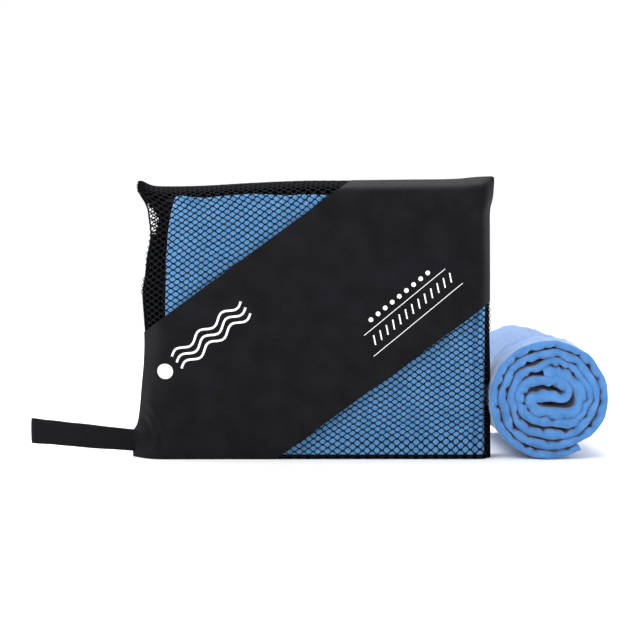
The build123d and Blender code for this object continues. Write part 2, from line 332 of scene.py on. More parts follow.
def strip_section(order, positions, gap, width, reach):
    """One sheet folded in four across its width, as (w, n) points along the cloth.

    w is the distance from the folded edge and n the height in the stack. order lists the place in
    the stack of each of the sheet's four legs. reach is where the last leg's free edge is.
    """
    middle = (positions - 1) / 2
    crown = middle * gap + 0.3
    rear = width - 2 * gap
    stops = [rear + 1.2 * gap, crown, rear, crown, reach]
    section = []
    for leg, place in enumerate(order):
        n = (place - middle) * gap
        start, end = stops[leg], stops[leg + 1]
        near_start = start < end
        count = (5, 5, 12, 12)[leg]
        for k in range(count):
            t = k / count
            t = t**1.7 if near_start else 1 - (1 - t) ** 1.7
            section.append((start + (end - start) * t, n))
        if leg == 3:
            section.append((end, n))
            break
        next_n = (order[leg + 1] - middle) * gap
        centre, radius = (n + next_n) / 2, (next_n - n) / 2
        side = -1 if leg % 2 == 0 else 1
        bends = (3, 3, 12)[leg]
        for k in range(bends):
            angle = pi * k / bends
            section.append((end + side * abs(radius) * sin(angle), centre - radius * cos(angle)))
    return section


def folded_cloth(name, line, sections, place, material, body):
    """One sheet of cloth laid along a line. sections has the cross-section of each of its halves,
    which are joined at the line's end. place turns (station, across, w, n) into a point."""
    points = []
    rows = 0
    for number, section in enumerate(sections):
        stations = range(len(line)) if number == 0 else reversed(range(len(line)))
        for i in stations:
            points += [place(i, w, n) for w, n in section]
            rows += 1
    faces = grid_faces(rows, len(sections[0]))
    return build(name, points, faces, material, body)


def normals_of(line):
    """Unit normals, to the left of the way along a flat line."""
    result = []
    for i in range(len(line)):
        along = (line[min(i + 1, len(line) - 1)] - line[max(i - 1, 0)]).normalized()
        result.append(Vector((-along.y, along.x)))
    return result


FLARE = 0.045  # how much wider the roll is at its back end


def add_rolled_towel(material):
    """Halved along its length, folded in four across, and rolled up from an S-shaped core."""
    centre = Vector(((ROLL_LOW.x + ROLL_HIGH.x) / 2 - 0.2, ROLL_HIGH.z / 2 + 0.7))
    width = ROLL_HIGH.y - ROLL_LOW.y
    # the core's line in the face: the strip's end lies over an S
    core = [
        (-4.7, 18.6), (4.7, 18.8), (12.4, 15.3), (18.0, 9.9), (21.6, 2.2), (20.0, -5.4), (13.1, -10.2),
        (3.3, -10.4), (-7.1, -7.6), (-12.6, -3.0), (-9.2, 1.9), (-0.8, 1.4), (8.0, 0.6), (12.2, 4.8),
        (9.6, 10.6), (1.3, 12.2), (-9.2, 11.2), (-17.6, 6.6), (-19.8, -1.3), (-16.1, -8.9), (-7.8, -14.2),
        (3.3, -16.6), (13.5, -16.2), (20.5, -11.6), (25.0, -4.0), (26.8, 3.6),
    ]
    # and the turns outside it, as degrees and radius
    turns = [
        (90, 24.4), (118, 22.4), (150, 24.2), (180, 25.2), (270, 24.2), (315, 28.0), (360, 31.6),
        (450, 30.3), (540, 31.0), (630, 31.2), (660, 32.4), (683, 35.4), (702, 37.0), (720, 37.2),
        (810, 36.7), (900, 37.0), (990, 37.6), (1008, 37.9), (1023, 38.4),
    ]
    spiral = []
    for (start, r0), (end, r1) in zip([(8, 26.8)] + turns, turns):
        count = ceil((end - start) / 15)
        for k in range(1, count + 1):
            radius = r0 + (r1 - r0) * ease(0, 1, k / count)
            angle = radians(start + (end - start) * k / count)
            spiral.append((radius * cos(angle), radius * sin(angle)))
    line = smooth_line([(1.02 * x, 1.02 * z) for x, z in core + spiral], 1.3)
    left = normals_of(line)
    scheme = [(5, 2, 1, 6), (4, 3, 0, 7)]
    reach = 45.0  # the outer leg is short, and its edge shows on the roll's side
    sections = [strip_section(order, 8, LAYER, width - 3, reach) for order in scheme]
    tail = 22  # the last stations before the free end, where the strip thins
    dice = random.Random(11)
    creases = []
    at_station = 4.0
    while at_station < len(line) - 4:
        depth, wide, skew = dice.uniform(0.25, 1.0), dice.uniform(0.8, 2.2), dice.uniform(-2.5, 2.5)
        creases.append((at_station, depth, wide, skew))
        at_station += dice.uniform(4.5, 11.0)

    def pinch(i, inner):
        """How deep the strip is pinched at a station. inner is 1 on its inner side, 0 on its outer."""
        deepest = 0.0
        for station, depth, wide, skew in creases:
            away = (i - station - skew * inner) / wide
            if abs(away) < 3:
                deepest = max(deepest, depth * exp(-away * away) * inner)
        return deepest

    def place(i, w, n):
        at = line[i]
        flat = min(1.0, (len(line) - 1 - i) / tail)
        front = exp(-w / 16)
        inner = min(1.0, max(0.0, 0.35 - n / (7 * LAYER) * 1.3))
        fold = pinch(i, inner) * (0.25 + 0.75 * front)
        # the outer leg's free edge is uneven
        ragged = 0.0
        if n > 2.2 * LAYER:
            ragged = 6.0 * noise.noise(Vector((i / 19, 2.5, 7.7))) * ease(8, reach, w)
        # the layers lie looser in the core
        core = 1 - ease(0.16, 0.30, i / len(line))
        spread = 1.10 + 0.42 * core + 0.2 * noise.noise(Vector((i / 7.5, w / 30, 3.1)))
        n = -n * spread * (0.8 + 0.2 * flat) * (1 - 0.8 * fold)
        at = at + left[i] * n
        # broad swells and finer creases, less on the outside
        swell = ripple(at.x, w * 0.35, at.y, 15.0)
        crease = ripple(at.x + 40, w * 0.5, at.y, 5.5)
        outside = ease(42, 30, at.length)
        push = (1.9 * swell + 0.8 * crease) * (0.3 + 0.7 * outside)
        x = at.x + push.x
        z = at.y + push.z
        pucker = noise.noise(Vector((i / 3.2 + n * 0.45, n * 0.22, 5.0)))
        y = w + (1.4 * swell.y + 0.8 * crease.y + 3.4 * fold + 1.5 * pucker) * front + ragged
        # the free edge stands proud, the roll widens and drifts left to its back, and streaks run along it
        hem = 0.45 * exp(-(((w - reach) / 2.5) ** 2)) * ease(38, 41, at.length)
        flare = 1 + FLARE * w / width + hem / 40
        x, z = x * flare - 4.0 * ease(45, width, w), (z + centre.y) * flare
        streak = noise.noise(Vector((i / 2.6, w / 55, 8.4))) * ease(10, 45, w) * ease(36, 40, at.length)
        x, z = x * (1 + 0.012 * streak), z * (1 + 0.012 * streak)
        return (centre.x + x, ROLL_LOW.y + 2.0 + y, max(0.35 + 0.02 * abs(n), z))

    roll = folded_cloth("rolled_towel_cloth", line, sections, place, material, "rolled_towel")
    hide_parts("rolled_towel")


# How far the folded towel's left end leans in at each height
BLOCK_LEAN = [
    (0, -2.6), (107, -0.8), (135, -0.2), (147, 0.6), (160, 1.6), (166, 2.7), (172, 4.2), (178, 5.8),
    (184, 7.6),
]


def add_folded_towel(material):
    """Folded in four across and then rolled flat, which fills the pouch."""
    width = BLOCK_HIGH.z - BLOCK_LOW.z
    gap = 1.02  # one layer of the folded cloth
    passes = 7
    strip = 4 * gap + 0.35  # and all four layers, with a little air
    middle_y = (BLOCK_LOW.y + BLOCK_HIGH.y) / 2
    depths = [middle_y + strip * (k - (passes - 1) / 2) for k in range(passes)]
    wound = [depths[0], depths[6], depths[1], depths[5], depths[2], depths[4], depths[3]]
    # the free edge curls back inside the pouch's side
    curl = [(-0.4, 9.0), (-0.3, 5.2), (0.6, 2.4), (2.6, 0.7), (7.0, 0.0), (18.0, 0.0)]
    curled = even([Vector((BLOCK_HIGH.x - back, wound[0] + deep)) for back, deep in curl], 0.8)
    line = [curled[-1]]
    half = strip / 2
    for k in range(passes - 1):
        here, there = wound[k], wound[k + 1]
        radius = (there - here) / 2
        to_left = k % 2 == 0
        inset = half + 0.4 + strip * (k // 2) + (0.0 if to_left else 2.4)
        side = -1 if to_left else 1
        edge = BLOCK_LOW.x + inset if to_left else BLOCK_HIGH.x - inset
        centre_x = edge - side * abs(radius)
        for j in range(17):
            angle = pi * j / 16
            out = sin(angle) ** 0.62
            over = copysign(abs(cos(angle)) ** 0.8, cos(angle))
            line.append(Vector((centre_x + side * abs(radius) * out, here + radius * (1 - over))))
    line.append(Vector((BLOCK_HIGH.x - 90.0, wound[-1])))
    line = curled[:-1] + even(line, 3.0)
    left = normals_of(line)
    section = strip_section((2, 1, 0, 3), 4, gap, width + 1.0, 85.0)

    def place(i, w, n):
        at = line[i] + left[i] * n
        z = BLOCK_HIGH.z + 1.6 - w
        top = exp(-w / 12)
        swell = ripple(at.x, at.y, w * 0.8, 26.0)
        crease = ripple(at.x, at.y + 30, w * 1.4, 9.0)
        inner = 1 - ease(10, 15, abs(at.y - middle_y))
        lean = between(BLOCK_LEAN, z) * (1 - ease(BLOCK_LOW.x, 0, at.x))
        # a groove runs down the front where the free edge starts to curl
        groove = exp(-(((at.x - BLOCK_HIGH.x + 6.2) / 1.2) ** 2)) * (1 - ease(-9, -4, at.y))
        x = at.x + lean + (0.9 * swell.x + 0.5 * crease.x) * 0.8
        y = at.y + 0.45 * swell.y + 0.35 * crease.y * (0.3 + 0.7 * inner) + 2.8 * groove
        # the top edge dips and rises near the left
        sag = 2.0 * exp(-(((at.x + 80) / 14) ** 2)) - 1.0 * exp(-(((at.x + 38) / 20) ** 2))
        z += (0.8 * swell.z + 0.5 * crease.z - sag) * top
        return (min(BLOCK_HIGH.x + 0.4, max(BLOCK_LOW.x - 0.4, x)), y, max(BLOCK_LOW.z - 0.5, z))

    block = folded_cloth("folded_towel_cloth", line, [section], place, material, "folded_towel")
    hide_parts("folded_towel")


# ------------------------------------------------------------------ the pouch's surface
# Its outline as seen from the front, in millimetres: x at each height, and the ridge's z at each x
LEFT_SIDE = [
    (0, -123.9), (17, -123.8), (22, -121.2), (30, -119.5), (49, -117.7), (65, -116.2), (82, -115.6),
    (98, -116.6), (115, -117.4), (126, -115.6), (139, -114.2), (148, -112.4), (156, -112.0),
    (166, -113.2),
    (172, -114.0), (177, -116.2), (181, -118.6), (185, -120.2), (188, -120.4), (191, -119.6),
]
RIGHT_SIDE = [(0, 124.0), (60, 123.6), (104, 122.6), (160, 122.6), (172, 122.9), (179, 124.6), (190, 125.6)]
TOP_EDGE = [
    (-118, 190.6), (-115, 190.3), (-110, 188.0), (-103, 187.0), (-76, 187.3), (-42, 189.3), (-8, 190.8),
    (25, 191.0), (60, 191.4), (95, 191.9), (112, 193.4), (124, 193.6),
]
# The front's section: up the front, over the ridge and down to the zip, as (y, z)
FRONT_SECTION = [
    (-15.0, 0.4), (-17.6, 2.0), (-18.7, 7.0), (-18.9, 30), (-18.9, 120), (-18.7, 160), (-18.3, 173),
    (-17.0, 180.0), (-13.2, 184.0), (-4.0, 187.0), (4.0, 188.8), (10.0, 189.0), (15.0, 187.8),
    (18.7, 185.2), (19.1, 183.5),
]
SEAM_Y = 1.0
RIGHT_SEAM_Y = -4.0  # lower down, the right seam lies nearer the front
NOMINAL_LEFT, NOMINAL_RIGHT = BOTTOM_LOW.x, BOTTOM_HIGH.x
NOMINAL_TOP = 189.0
ZIP_LOW = 172.5
ZIP_HIGH = 183.5
MOUTH_LEFT, MOUTH_RIGHT = box_mm("flap_mesh")[0].x, box_mm("flap_nylon")[1].x

BAND_SLOPE = radians(36.2)
BAND_ACROSS = Vector((-sin(BAND_SLOPE), 0, cos(BAND_SLOPE)))  # at right angles to the band, upwards
UPPER_POINT = Vector((14.0, 0, 181.8))  # a point on each of the band's edges
LOWER_POINT = Vector((118.0, 0, 104.5))


def between(table, value):
    """Smoothly interpolated second number of a table sorted by its first."""
    if value <= table[0][0]:
        return table[0][1]
    for i in range(len(table) - 1):
        (a, p), (b, q) = table[i], table[i + 1]
        if value <= b:
            before = table[i - 1] if i else (2 * a - b, 2 * p - q)
            after = table[i + 2] if i + 2 < len(table) else (2 * b - a, 2 * q - p)
            slope_a = (q - before[1]) / (b - before[0]) * (b - a)
            slope_b = (after[1] - p) / (after[0] - a) * (b - a)
            t = (value - a) / (b - a)
            t2, t3 = t * t, t * t * t
            return (
                p * (2 * t3 - 3 * t2 + 1) + slope_a * (t3 - 2 * t2 + t)
                + q * (3 * t2 - 2 * t3) + slope_b * (t3 - t2)
            )
    return table[-1][1]


SECTION_LINE = smooth_line(FRONT_SECTION, 1.0)
SECTION_LONG = len(SECTION_LINE) - 1.0
FOLD_S = next(i for i, p in enumerate(SECTION_LINE) if p.y > 180.2)  # where the cover starts
RIDGE_S = max(range(len(SECTION_LINE)), key=lambda i: SECTION_LINE[i].y)


def section_at(s):
    """The front's section, as (y, z), at a distance along it."""
    s = min(max(s, 0.0), SECTION_LONG - 1e-6)
    i = floor(s)
    return SECTION_LINE[i].lerp(SECTION_LINE[i + 1], s - i)


def spread_to_seams(x, z, left_round, right_round):
    """0 at the side seams, where front and back meet, and 1 once the given widths inside them."""
    left = max(0.0, min(1.0, (x - between(LEFT_SIDE, z)) / left_round))
    right = max(0.0, min(1.0, (between(RIGHT_SIDE, z) - x) / right_round))
    return sin(pi / 2 * left) * sin(pi / 2 * right)


def seam_y(x, z):
    """How deep the nearer side seam lies."""
    if x < 0:
        return SEAM_Y
    return SEAM_Y + (RIGHT_SEAM_Y - SEAM_Y) * (1 - ease(120, 175, z))


def soft_folds(x, z):
    """How far the front stands out from its even shape."""
    broad = noise.noise(Vector((x / 55, z / 48, 1.3))) * 1.1
    pulled = noise.noise(Vector(((x * 0.55 + z * 0.83) / 17, (x * 0.83 - z * 0.55) / 70, 4.7))) * 0.9
    corner = Vector((x - 112, z - 186)).length
    # creases fan out from the upper right corner, and a dimple with two rings lies at the lower left
    fan = sin(atan2(z - 192, x - 130) * 17) * 0.7 * exp(-((corner / 38) ** 2))
    across, up = x + 112.0, z - 19
    away = Vector((across + 0.3 * up, 0.5 * up)).length
    hollow = -6.5 * exp(-((away / 3.3) ** 2))
    ring = 1.8 * exp(-(((away - 5.6) / 1.3) ** 2)) + 1.2 * exp(-(((away - 10.6) / 1.7) ** 2))
    ring *= ease(-14, 4, across)
    return broad + pulled + fan + hollow + ring


def front_point(x, s):
    """A point on the front sheet. x runs between the nominal side seams and s up the section."""
    section = section_at(s)
    share = (x - NOMINAL_LEFT) / (NOMINAL_RIGHT - NOMINAL_LEFT)
    lift = ease(120, 186, section.y) * (1 - ease(RIDGE_S, SECTION_LONG, s))
    z = section.y * (1 + (between(TOP_EDGE, x) / NOMINAL_TOP - 1) * lift)
    left, right = between(LEFT_SIDE, z), between(RIGHT_SIDE, z)
    at_x = left + (right - left) * share
    over = ease(FOLD_S, SECTION_LONG - 6, s)
    side = spread_to_seams(at_x, z, 20 - 7 * over, 9 - 3 * over)
    seam = seam_y(at_x, z)
    y = seam + (section.x - seam) * side
    y -= soft_folds(at_x, z) * side * (1 - ease(FOLD_S - 12, FOLD_S + 4, s)) * ease(0, 14, s)
    return Vector((at_x, y, z))


def back_point(x, z):
    """A point on the back sheet, whose height is z."""
    share = (x - NOMINAL_LEFT) / (NOMINAL_RIGHT - NOMINAL_LEFT)
    left, right = between(LEFT_SIDE, z), between(RIGHT_SIDE, z)
    at_x = left + (right - left) * share
    seam = seam_y(at_x, z)
    left_round = 13 + 17 * (1 - ease(28, 75, z))  # wider by the wrist loop, which swings past
    y = seam + (BACK_Y - 0.3 - seam) * spread_to_seams(at_x, z, left_round, 5)
    waves = noise.noise(Vector((at_x / 40, z / 45, 9.1))) * 0.8
    flat_by_zip = 1 - ease(ZIP_LOW - 22, ZIP_LOW - 4, z)
    y += waves * spread_to_seams(at_x, z, 26, 20) * flat_by_zip * ease(0, 14, z)
    return Vector((at_x, y, z))


def raised(surface, a, b, height):
    """The surface's point moved outwards by height along its normal."""
    here = surface(a, b)
    if not height:
        return here
    across = surface(a + 0.5, b) - surface(a - 0.5, b)
    up = surface(a, b + 0.5) - surface(a, b - 0.5)
    return here + across.cross(up).normalized() * height


def steps(low, high, size):
    """Evenly spaced values from low to high, at most size apart."""
    count = max(1, ceil((high - low) / size))
    return [low + (high - low) * k / count for k in range(count + 1)]


CLOTH_THICK = 0.5
NET_LIFT = 0.25  # how far each layer lies outside the front's surface
FACING_LIFT = 0.3
NYLON_LIFT = 0.85
PRINT_LIFT = 1.05


def cloth_panel(name, surface, xs, heights, lift, cuts, material, drop=None):
    """A panel of solid cloth of the pouch, over part of a surface.

    cuts has pairs of a point and a direction in millimetres: what lies that way from it is cut off.
    drop says of a face's middle whether the face is left out.
    """
    points = [raised(surface, x, s, lift) * MM for s in heights for x in xs]
    mesh = bpy.data.meshes.new(name)
    mesh.from_pydata(points, [], grid_faces(len(heights), len(xs)))
    shape = bmesh.new()
    shape.from_mesh(mesh)
    for point, direction in cuts:
        bmesh.ops.bisect_plane(
            shape, geom=[*shape.verts, *shape.edges, *shape.faces], dist=1e-6, plane_co=point * MM,
            plane_no=direction, clear_outer=True,
        )
    if drop:
        gone = [f for f in shape.faces if drop(f.calc_center_median() / MM)]
        bmesh.ops.delete(shape, geom=gone, context="FACES")
    bmesh.ops.recalc_face_normals(shape, faces=shape.faces)
    bmesh.ops.solidify(shape, geom=list(shape.faces), thickness=CLOTH_THICK * MM)
    bmesh.ops.recalc_face_normals(shape, faces=shape.faces)
    for face in shape.faces:
        face.smooth = True
    shape.to_mesh(mesh)
    shape.free()
    mesh.set_sharp_from_angle(angle=radians(50))
    mesh.materials.append(material)
    return link(name, mesh, "pouch")


# ------------------------------------------------------------------ net
CELL_WIDE = 6.5
CELL_HIGH = 4.3
HOLE_WIDE = 4.2
HOLE_HIGH = 3.2
HOLE_ROUND = 1.35  # 2 makes the holes oval and 1 makes them diamonds
LINK_HALF = 0.75  # half the short strand between cells above one another
YARN = 0.42  # half the yarn's thickness


def net_panel(name, surface, low, high, keep, material, seed, lift=NET_LIFT):
    """Knitted net over part of a surface: staggered cells with holes, in one closed mesh.

    low and high are the corners of the lattice in the surface's own two numbers, and keep says of a
    cell's middle, as a point in space and those two numbers, whether the cell is made.
    """
    points, faces = [], []
    rim = {}  # the points that neighbouring cells share
    used = {}  # the wall of each outer edge, once for each cell on it
    side, top = CELL_WIDE / 2 - LINK_HALF, CELL_HIGH / 2
    corners = [
        (side, 0), (LINK_HALF, top), (-LINK_HALF, top), (-side, 0), (-LINK_HALF, -top), (LINK_HALF, -top),
    ]

    def bent(a, b):
        """Where the net's uneven pull moves a point of the lattice. Its lowest row stays level."""
        pull = noise.noise_vector(Vector((a / 30, b / 30, seed)))
        jitter = noise.noise_vector(Vector((a / 3.1, b / 3.1, seed + 5)))
        free = ease(low[1], low[1] + 16, b)
        rise = pull.y + 0.2 * jitter.y + 0.03 * (a - low[0])
        return a + 1.3 * pull.x + 0.24 * jitter.x, b + free * rise

    def vertex(a, b, side):
        key = (round(a * 50), round(b * 50), side)
        if key not in rim:
            rim[key] = len(points)
            points.append(raised(surface, *bent(a, b), lift + side * YARN))
        return rim[key]

    for row in range(floor((high[1] - low[1]) / (CELL_HIGH / 2)) + 1):
        b = low[1] + row * CELL_HIGH / 2
        shift = CELL_WIDE / 2 if row % 2 else 0.0
        for column in range(floor((high[0] - low[0]) / CELL_WIDE) + 1):
            a = low[0] + column * CELL_WIDE + shift
            middle = surface(*bent(a, b))
            if not keep(middle, a, b):
                continue
            outer = []
            for k in range(6):
                p, q = corners[k], corners[(k + 1) % 6]
                outer.append((a + p[0], b + p[1]))
                outer.append((a + (p[0] + q[0]) / 2, b + (p[1] + q[1]) / 2))
            first = len(points)
            for k, (u, v) in enumerate(outer):
                angle = atan2((v - b) / HOLE_HIGH, (u - a) / HOLE_WIDE)
                out = copysign(abs(cos(angle)) ** (2 / HOLE_ROUND), cos(angle))
                up = copysign(abs(sin(angle)) ** (2 / HOLE_ROUND), sin(angle))
                inside = bent(a + HOLE_WIDE / 2 * out, b + HOLE_HIGH / 2 * up)
                points.append(raised(surface, *inside, lift))
            tops = [vertex(u, v, 1) for u, v in outer]
            unders = [vertex(u, v, -1) for u, v in outer]
            for k in range(12):
                j = (k + 1) % 12
                faces.append((tops[k], tops[j], first + j, first + k))
                faces.append((unders[j], unders[k], first + k, first + j))
                edge = (min(tops[k], tops[j]), max(tops[k], tops[j]))
                used.setdefault(edge, []).append((tops[j], tops[k], unders[k], unders[j]))
    faces += [walls[0] for walls in used.values() if len(walls) == 1]
    return build(name, points, faces, material, "pouch")


# ------------------------------------------------------------------ pouch pieces
def above_band(point):
    return (point - UPPER_POINT).dot(BAND_ACROSS)


def below_band(point):
    return -(point - LOWER_POINT).dot(BAND_ACROSS)


def nylon_material():
    """Plain-weave nylon with fine ribs across the band and a low sheen."""
    shader = Shader("black_nylon", Roughness=0.5, Specular_IOR_Level=0.03, Sheen_Weight=0.008)
    shader.bsdf.inputs["Sheen Tint"].default_value = (0.8, 0.8, 0.9, 1)
    turned = shader.turned((0, -BAND_SLOPE, 0))
    ribs = shader.wave(1.5, "X", turned)
    threads = shader.wave(0.5, "Z", turned)
    cloudy = shader.noise(16.0, 3.0)
    grain = shader.noise(0.5, 2.0)
    dark, light = (0.0035, 0.0035, 0.0043), (0.0110, 0.0110, 0.0132)
    shader.paint(shader.ramp(shader.mixed(cloudy, ribs, 0.6), [(0.25, dark), (0.75, light)]))
    shader.rough(grain, 0.45, 0.62)
    shader.bump(shader.blend("ADD", ribs, shader.blend("MULTIPLY", threads, 0.35)), 0.12, 1.0)
    shader.bump(grain, 0.03, 0.5)
    return shader.material


def webbing_material():
    """Coarse woven tape."""
    shader = Shader("black_webbing", Roughness=0.65, Specular_IOR_Level=0.07)
    weave = shader.blend("MULTIPLY", shader.wave(0.8, "X"), shader.wave(1.1, "Z"))
    grain = shader.noise(0.3, 2.0)
    shader.paint(shader.ramp(weave, [(0.2, (0.003, 0.003, 0.004)), (0.8, (0.012, 0.012, 0.014))]))
    shader.bump(shader.blend("ADD", weave, grain), 0.15, 0.7)
    return shader.material


def grained(name, grain_mm, detail, stops, relief=None, rough=None, **sockets):
    """A material whose colour, relief and roughness all follow one fine grain."""
    shader = Shader(name, **sockets)
    grain = shader.noise(grain_mm, detail)
    shader.paint(shader.ramp(grain, stops))
    if rough:
        shader.rough(grain, *rough)
    if relief:
        shader.bump(grain, *relief)
    return shader.material


def tube(name, line, radius, material):
    """A closed tube of the pouch along a line of points in millimetres."""
    sides = 8
    points, faces = [], []
    for i, at in enumerate(line):
        along = (line[min(i + 1, len(line) - 1)] - line[max(i - 1, 0)]).normalized()
        across = along.cross(Vector((0, 1, 0))).normalized()
        out = across.cross(along)
        for k in range(sides):
            angle = 2 * pi * k / sides
            points.append(at + across * radius * cos(angle) + out * radius * sin(angle))
    for i in range(len(line) - 1):
        for k in range(sides):
            j = (k + 1) % sides
            faces.append((i * sides + k, i * sides + j, (i + 1) * sides + j, (i + 1) * sides + k))
    faces.append(tuple(range(sides))[::-1])
    faces.append(tuple((len(line) - 1) * sides + k for k in range(sides)))
    return build(name, points, faces, material, "pouch")


def add_nets(material):
    """The front's two panels, the cover's net, the left ear and a strip round the back's left edge."""
    edge = 2.5  # how far the net runs in under the band
    low_edge = 0.3 + CELL_HIGH / 2

    def in_upper(p, a, b):
        past = 1.2 if 112 < b < 128 else -2.2  # where the net stands out past the seam
        return above_band(p) > -edge and NOMINAL_LEFT - past < a and b < FOLD_S

    def in_flap(p, a, b):
        return above_band(p) > -edge and FOLD_S <= b < RIDGE_S - 1 and a >= MOUTH_LEFT

    def in_corner(p, a, b):
        return FOLD_S <= b < RIDGE_S - 1 and NOMINAL_LEFT + 0.6 < a < MOUTH_LEFT

    def in_lower(p, a, b):
        past = 0.9 if 86 < b < 104 else -2.2
        return below_band(p) > -edge and a < NOMINAL_RIGHT + past and b > low_edge

    # one lattice runs over the fold, through three panels
    top = (-119.7, 84.0), (26.0, SECTION_LONG)
    upper = net_panel("net_upper", front_point, *top, in_upper, material, 2.0)
    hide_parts("front_mesh_upper")
    flap = net_panel("net_flap", front_point, *top, in_flap, material, 2.0)
    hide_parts("flap_mesh")
    corner = net_panel("net_corner", front_point, *top, in_corner, material, 2.0)
    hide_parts("mouth_corner_left")
    lower = net_panel("net_lower", front_point, (-30.0, 0.4), (124.0, 112.0), in_lower, material, 8.0)
    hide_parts("front_mesh_lower")

    def in_gusset(p, a, b):
        by_zip = a > -106 and b > 171  # clear of the open slider
        return NOMINAL_LEFT + 0.6 < a < -99 and 96 < b < 180 and not by_zip

    rear = (-119.0, 96.0), (-96.0, 181.0)
    gusset = net_panel("net_side_rear", back_point, *rear, in_gusset, material, 5.0, lift=0.3)
    for piece, wide, long, area, sewn_to in (
        (upper, 140, 99, 6400, ["front_band", "left_seam_binding"]),
        (lower, 149, 109, 7500, ["front_band", "right_seam_binding", "bottom_panel"]),
        (gusset, 22.5, 86, None, ["left_seam_binding", "back_panel"]),
        (flap, 136, 22.5, 2600, ["zip_tape_upper", "front_mesh_upper"]),
        (corner, 16.5, 22.5, 310, ["left_seam_binding", "front_mesh_upper"]),
    ):
        stretched(piece, wide, long, area, sewn_to)
    return flap


def add_band(material):
    """The diagonal band, the nylon half of the cover, the right ear and a facing inside the ridge."""
    # finer at the lower left, for the dimple
    xs = steps(NOMINAL_LEFT, -96, 0.8)[:-1] + steps(-96, NOMINAL_RIGHT, 2.0)
    heights = steps(0.0, 46, 0.8)[:-1] + steps(46, FOLD_S, 2.0)
    cuts = [(UPPER_POINT, BAND_ACROSS), (LOWER_POINT, -BAND_ACROSS)]
    band = cloth_panel("nylon_band", front_point, xs, heights, NYLON_LIFT, cuts, material)
    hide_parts("front_band")
    over = steps(FOLD_S, SECTION_LONG, 1.5)
    lid_xs = steps(UPPER_POINT.x - 10, MOUTH_RIGHT, 2.0)
    lid = cloth_panel("nylon_flap", front_point, lid_xs, over, NYLON_LIFT, cuts[:1], material)
    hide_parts("flap_nylon")
    corner_xs = steps(MOUTH_RIGHT, NOMINAL_RIGHT, 1.5)
    corner = cloth_panel("nylon_corner", front_point, corner_xs, over, NYLON_LIFT, [], material)
    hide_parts("mouth_corner_right")
    inside = steps(RIDGE_S - 4, SECTION_LONG, 1.5)
    mouth_xs = steps(MOUTH_LEFT, UPPER_POINT.x + 22, 2.0)
    facing = cloth_panel("ridge_facing", front_point, mouth_xs, inside, FACING_LIFT, [], material)
    ear_xs = steps(NOMINAL_LEFT, MOUTH_LEFT, 1.5)
    ear = cloth_panel("ridge_facing_corner", front_point, ear_xs, inside, FACING_LIFT, [], material)
    sides = ["left_seam_binding", "right_seam_binding"]
    stretched(band, 250, 186, 31100, [*sides, "bottom_panel"])
    stretched(lid, 113, 42, 4300, ["zip_tape_upper", "front_band"])
    stretched(facing, 143.5, 18.7, None, ["zip_tape_upper", "flap_mesh"])
    stretched(ear, 16.5, 18.7, None, ["left_seam_binding", "mouth_corner_left"])
    return lid, facing


def on_band(x, z):
    """The point on the band that lies behind the given place, as seen square on."""
    nominal, s = x, z
    for _ in range(4):
        at = front_point(nominal, s)
        nominal += x - at.x
        s += z - at.z
    return raised(front_point, nominal, s, PRINT_LIFT)


def ink(name, strokes, spots, width, material):
    """Flat print on the band. A stroke is a list of points (x, z) along its middle, and a spot is its
    middle and radius."""
    points, faces = [], []
    for stroke in strokes:
        line = even([Vector(p) for p in stroke], 0.8)
        first = len(points)
        for at, out in zip(line, normals_of(line)):
            for side in (-1, 1):
                edge = at + out * side * width / 2
                points.append(on_band(edge.x, edge.y))
        for k in range(first, first + 2 * len(line) - 2, 2):
            faces.append((k, k + 1, k + 3, k + 2))
    count = 24  # points round each spot
    for middle, radius in spots:
        first = len(points)
        points.append(on_band(middle.x, middle.y))
        for reach in (radius / 2, radius):
            for k in range(count):
                angle = 2 * pi * k / count
                points.append(on_band(middle.x + reach * cos(angle), middle.y + reach * sin(angle)))
        for k in range(count):
            j = (k + 1) % count
            inner, outer = first + 1, first + 1 + count
            faces.append((first, inner + k, inner + j))
            faces.append((inner + k, outer + k, outer + j, inner + j))
    marks = build(name, points, faces, material, "pouch")


def add_prints(material):
    """Plain generic marks: a disc and waves on the left, dots and bars by two rules on the right."""

    def placed(origin, slope, shape):
        along = Vector((cos(slope), sin(slope)))
        across = Vector((-sin(slope), cos(slope)))
        return [origin + along * u + across * v for u, v in shape]

    def wave(start, end, pitch, height, level):
        return [(u, level + height * sin(2 * pi * (u - start) / pitch)) for u in steps(start, end, 0.8)]

    large = Vector((-74.7, 80.6)), radians(38.6)
    waves = [placed(*large, wave(-22, 38, 20.0, 2.2, level)) for level in (5.2, 0.0, -5.2)]
    ink("print_large", waves, [(placed(*large, [(-32, 0)])[0], 5.2)], 1.5, material)

    small = Vector((68.5, 103.0)), radians(39.5)
    dots = [(at, 1.6) for at in placed(*small, [(u, 12.4) for u in steps(-26, 24, 6.25)])]
    bars = [placed(*small, [(u - 1.6, -3.0), (u + 1.6, 3.0)]) for u in steps(-33, 34, 5.6)]
    ink("print_small", bars, dots, 0.95, material)
    ends = ([(-36.5, 7.0), (35.0, 7.0)], [(-40.5, -8.2), (38.2, -8.2)])
    ink("print_rules", [placed(*small, rule) for rule in ends], [], 0.45, material)


